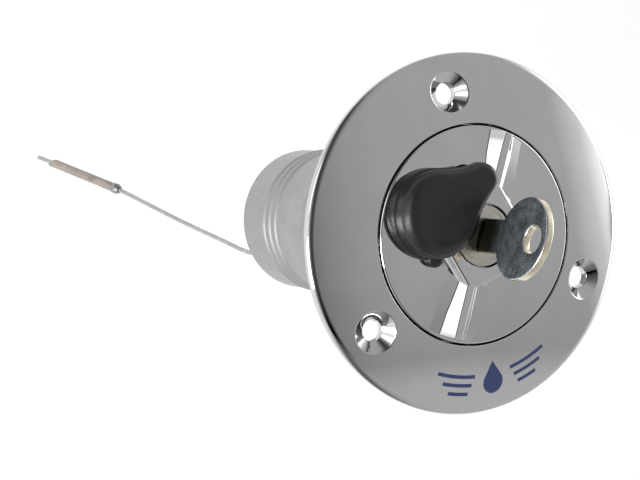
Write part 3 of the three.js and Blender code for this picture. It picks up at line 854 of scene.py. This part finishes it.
def key():
    """The key stands upright in the lock: its outline is drawn in XY as (across, up)."""
    join = math.degrees(math.asin(KEY_NECK_HALF_WIDTH / BOW_R))
    bow = arc((0, BOW_CENTRE_Z), BOW_R, -90 + join, 270 - join, 96)
    shoulder, tip = LOCK_FACE_Z + 0.3, -11.2
    cuts = []
    for z, depth in zip(WAFER_ZS, (0.5, 1, 0.3, 0.8, 0.6)):
        floor = depth - BLADE_HALF_WIDTH
        cuts += [(-BLADE_HALF_WIDTH, z + 1.1), (floor, z + 0.3)]
        cuts += [(floor, z - 0.3), (-BLADE_HALF_WIDTH, z - 1.1)]
    outline = [
        *bow, (-KEY_NECK_HALF_WIDTH, shoulder), (-BLADE_HALF_WIDTH, shoulder), *cuts,
        (-BLADE_HALF_WIDTH, tip + 1.8), (-0.9, tip), (0.9, tip), (BLADE_HALF_WIDTH, tip + 1.8),
        (BLADE_HALF_WIDTH, shoulder), (KEY_NECK_HALF_WIDTH, shoulder),
    ]
    hole = circle(BOW_HOLE_R, 64, (0, BOW_HOLE_Z))
    upright = TURNED @ Matrix.Rotation(math.pi / 2, 4, "X")
    blank = plate("key_blank", [outline, hole], KEY_THICKNESS, 0.5, upright)
    grooves = []
    for side in (-1, 1):
        middle = -side * 1.3
        groove = box_tool(middle - 0.5, middle + 0.5, side * 0.55, side * 3, tip - 1, LOCK_FACE_Z - 0.8)
        groove.data.transform(TURNED)
        grooves.append(groove)
    combine(blank, grooves, "DIFFERENCE")
    smooth(blank, 40)
    flat = TURNED.to_3x3() @ Vector((0, 1, 0))

    def is_edge(face):
        return int(abs(face.normal.dot(flat)) < 0.8 and face.center.z > 14 * MM)

    return paint(blank, KEY_FACE, KEY_EDGE, choose=is_edge)


place(lock_plug(), "lock_cylinder", "lock_metal", "lock_plug")
place(key(), "key", "key_plate", "key")


# ---- dust cover ------------------------------------------------------------------------------
def cover_outline(steps=64):
    """A round part and a narrow end joined by two hollow curves, counter-clockwise."""
    span = (COVER_PIVOT - COVER_CENTRE).length
    heading = Matrix.Rotation(math.atan2(*(COVER_PIVOT - COVER_CENTRE).yx), 2)
    reach = [COVER_R + COVER_WAIST_R, COVER_END_R + COVER_WAIST_R]
    along = (reach[0] ** 2 - reach[1] ** 2 + span**2) / (2 * span)
    across = math.sqrt(reach[0] ** 2 - along**2)
    at_big = math.degrees(math.atan2(across, along))
    at_small = math.degrees(math.atan2(across, span - along))
    flat = [
        *arc((0, 0), COVER_R, at_big, 360 - at_big, steps),
        *arc((along, -across), COVER_WAIST_R, 180 - at_big, at_small, 10)[1:-1],
        *arc((span, 0), COVER_END_R, at_small - 180, 180 - at_small, steps // 2),
        *arc((along, across), COVER_WAIST_R, -at_small, at_big - 180, 10)[1:-1],
    ]
    return [heading @ Vector(p) + COVER_CENTRE for p in flat]


def cover_foot(grow):
    """The ground that the cover stands over: the dome, the hub and the pivot's boss, with clearance."""
    dome = lathe("foot", [(0, -1), (50, -1), *[(r, z + grow) for r, z in dome_line(50, 0, 24)]], 96)
    room = layered("foot_hub", [
        (inset(hub_outline(), -1.4 - grow), 0), (inset(hub_outline(), -grow), HUB_TOP_Z + grow),
    ])
    boss = layered("foot_boss", [(circle(6.2, 48, COVER_PIVOT), z) for z in (0, HUB_TOP_Z + grow)])
    return [dome, room, boss]


def top_edge(start, control, end, steps):
    """A quadratic curve from the wall to the top, without its first point."""
    a, b, c = Vector(start), Vector(control), Vector(end)
    return [tuple(a.lerp(b, t / steps).lerp(b.lerp(c, t / steps), t / steps)) for t in range(1, steps + 1)]


def cover_level(outline, distance, z):
    """The outline at a height, moved in by a distance that is smaller round the narrow end."""
    far = (COVER_PIVOT - COVER_CENTRE).length
    along = (COVER_PIVOT - COVER_CENTRE).normalized()
    ring = []
    for here, moved in zip(outline, inset(outline, 1)):
        share = min(1, max(0, (Vector(here) - COVER_CENTRE).dot(along) / far))
        step = (moved - Vector(here)) * distance * (1 - 0.5 * share)
        ring.append((here[0] + step.x, here[1] + step.y, z))
    return ring


def dust_cover():
    """A moulded cap: a skirt with a small step at its foot, a tall wall and a broad rounded top edge."""
    outline = cover_outline()
    levels = [(0, 0), (0, 9.6), (0.12, 9.9), (0.4, 10.05), (0.5, 10.3), (0.55, 12.3)]
    levels += top_edge((0.55, 12.3), (1.1, COVER_TOP_Z - 0.35), (4.3, COVER_TOP_Z), 14)
    shell = skin("moulded_cover", [cover_level(outline, d, z) for d, z in levels])
    tab_x = COVER_CENTRE.x + (COVER_R - 0.5) * math.cos(COVER_TAB_BEARING)
    tab_y = COVER_CENTRE.y + (COVER_R - 0.5) * math.sin(COVER_TAB_BEARING)
    tab = layered("tab", [
        (circle(COVER_TAB_R - d, 40, (tab_x, tab_y)), z)
        for d, z in ((0, 4), (0, 9.7), (0.15, 10.1), (0.5, 10.4), (1.2, 10.5))
    ])
    combine(shell, [tab], "UNION")
    hollow = layered("hollow", [
        (inset(outline, COVER_WALL + d), z)
        for d, z in ((0, 0), (0, 12.2), (0.4, 13.2), (1.2, COVER_TOP_Z - COVER_WALL))
    ])
    combine(hollow, [layered("post", [(circle(4.6, 48, COVER_PIVOT), z) for z in (-1, 20)])], "DIFFERENCE")
    # In metres where lathe() takes millimetres, so this room for the stud misses it too.
    bore = Matrix.Translation((*(COVER_PIVOT * MM), 0))
    stud_room = lathe("stud_room", [
        (0, 9), (1.8, 9), (1.8, 11.9), (2.7, 11.9), (2.7, 13.9), (0, 13.9),
    ], 40, bore)
    combine(shell, [*cover_foot(COVER_CLEARANCE), hollow, stud_room], "DIFFERENCE")
    shell.data.transform(TURNED)
    return paint(smooth(shell, 38), COVER_BLACK)


place(dust_cover(), "cover", "cover_rubber", "dust_cover")


# ---- carried-over CAD pieces -----------------------------------------------------------------
def repaint(nodes, material):
    for name in nodes:
        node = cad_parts[name]
        for slot in node.material_slots:
            slot.link = "OBJECT"
            slot.material = material


repaint(["cap_seal_ring", "lock_seal_ring"], RUBBER)
repaint([f"lock_wafer_{i}" for i in range(1, 6)], BRASS)
repaint([f"wafer_spring_{i}" for i in range(1, 6)], WIRE_GREY)
repaint(["lock_housing", "lock_housing_nut", "cover_pivot_stud", "lock_cam", "cam_washer", "cam_screw",
         "cable_eyelet"], TURNED_STEEL)


# ---- studio ----------------------------------------------------------------------------------
FLOOR_Z = -0.26
# The sky's brightness from left to right: left wall, dim ceiling, grey right wall, right softbox.
SKY_ACROSS = (
    (-1.0, 1.4), (-0.8, 1.2), (-0.6, 0.55), (-0.42, 0.10), (-0.26, 0.07), (-0.1, 0.22), (0.0, 0.4),
    (0.1, 0.5), (0.25, 0.57), (0.8, 0.6), (0.86, 0.95), (0.89, 1.5), (0.93, 3.0), (1.0, 4.5),
)
SKY_FRONT = ((-0.62, 0.1), (-0.55, 0.08), (-0.48, -0.1), (-0.2, 0.0))      # what its front side adds
# Two soft-edged cards in it, given by the direction of their centre and their half sizes in y and z.
DARK_CARD, DARK_CARD_SIZE = Vector((0.92, -0.16, 0.33)), Vector((0.15, 0.09))
BRIGHT_CARD, BRIGHT_CARD_SIZE, BRIGHT_CARD_GAIN = Vector((-0.72, 0.47, 0.46)), Vector((0.18, 0.19)), 1.3


def floor():
    half = 4000
    corners = [(x * half, y * half, FLOOR_Z / MM) for x, y in ((-1, -1), (1, -1), (1, 1), (-1, 1))]
    piece = new_piece("floor", corners, [(0, 1, 2, 3)])
    shader = Shader("pale_floor", Specular_IOR_Level=0.0)
    shader.colour(shader.blend(shader.noise(400, 2), (0.78, 0.78, 0.78), (0.82, 0.82, 0.82)))
    shader.roughness(shader.spread(shader.noise(300, 2), 0.8, 0.9))
    shader.surface.inputs["Emission Color"].default_value = (1, 1, 1, 1)
    shader.surface.inputs["Emission Strength"].default_value = 0.38
    paint(piece, shader.material)


def softbox(name, direction, distance, size, power, colour=(1, 1, 1)):
    """A soft light that looks at the cap from a direction."""
    lamp = bpy.data.lights.new(name, "AREA")
    lamp.shape, lamp.size, lamp.size_y = "RECTANGLE", *size
    lamp.energy, lamp.color = power, colour
    light = bpy.data.objects.new(name, lamp)
    bpy.context.scene.collection.objects.link(light)
    away = Vector(direction).normalized()
    light.location = away * distance
    light.rotation_euler = away.to_track_quat("Z", "Y").to_euler()
    light.visible_camera = False


class Sky:
    """The world's brightness, worked out from the direction looked in."""

    def __init__(self):
        world = bpy.data.worlds.new("studio")
        bpy.context.scene.world = world
        world.use_nodes = True
        self.nodes, self.links = world.node_tree.nodes, world.node_tree.links
        split = self.nodes.new("ShaderNodeSeparateXYZ")
        self.links.new(self.nodes.new("ShaderNodeTexCoord").outputs["Generated"], split.inputs["Vector"])
        self.x, self.y, self.z = split.outputs

    def math(self, operation, *values):
        node = self.nodes.new("ShaderNodeMath")
        node.operation = operation
        for socket, value in zip(node.inputs, values):
            if isinstance(value, (int, float)):
                socket.default_value = value
            else:
                self.links.new(value, socket)
        return node.outputs["Value"]

    def steps(self, source, stops):
        """Brightness that runs straight from stop to stop."""
        total = stops[0][1]
        for (x0, y0), (x1, y1) in zip(stops, stops[1:]):
            ranged = self.nodes.new("ShaderNodeMapRange")
            for socket, value in zip(("From Min", "From Max", "To Min", "To Max"), (x0, x1, 0, y1 - y0)):
                ranged.inputs[socket].default_value = value
            self.links.new(source, ranged.inputs["Value"])
            total = self.math("ADD", total, ranged.outputs["Result"])
        return total

    def card(self, centre, size, side):
        """0 inside a soft-edged oval card on the right (1) or left (-1), 1 outside it."""
        across = self.math("DIVIDE", self.math("SUBTRACT", self.y, centre.y), size.x)
        up = self.math("DIVIDE", self.math("SUBTRACT", self.z, centre.z), size.y)
        reach = self.math("ADD", self.math("MULTIPLY", across, across), self.math("MULTIPLY", up, up))
        behind = self.math("LESS_THAN", self.math("MULTIPLY", self.x, side), 0)
        return self.math("MAXIMUM", self.steps(reach, ((0.7, 0.1), (1.2, 1))), behind)


def sky():
    sky = Sky()
    brightness = sky.math("ADD", sky.steps(sky.x, SKY_ACROSS), sky.steps(sky.y, SKY_FRONT))
    brightness = sky.math("MULTIPLY", brightness, sky.card(DARK_CARD, DARK_CARD_SIZE, 1))
    on_card = sky.math("SUBTRACT", 1, sky.card(BRIGHT_CARD, BRIGHT_CARD_SIZE, -1))
    brightness = sky.math("ADD", brightness, sky.math("MULTIPLY", on_card, BRIGHT_CARD_GAIN))
    sky.nodes["Background"].inputs["Color"].default_value = (1, 1, 1, 1)
    sky.links.new(brightness, sky.nodes["Background"].inputs["Strength"])


floor()
sky()
softbox("left_softbox", (-0.9, -0.1, 0.38), 1.2, (0.45, 0.9), 12)
bpy.context.scene.view_settings.view_transform = "Standard"
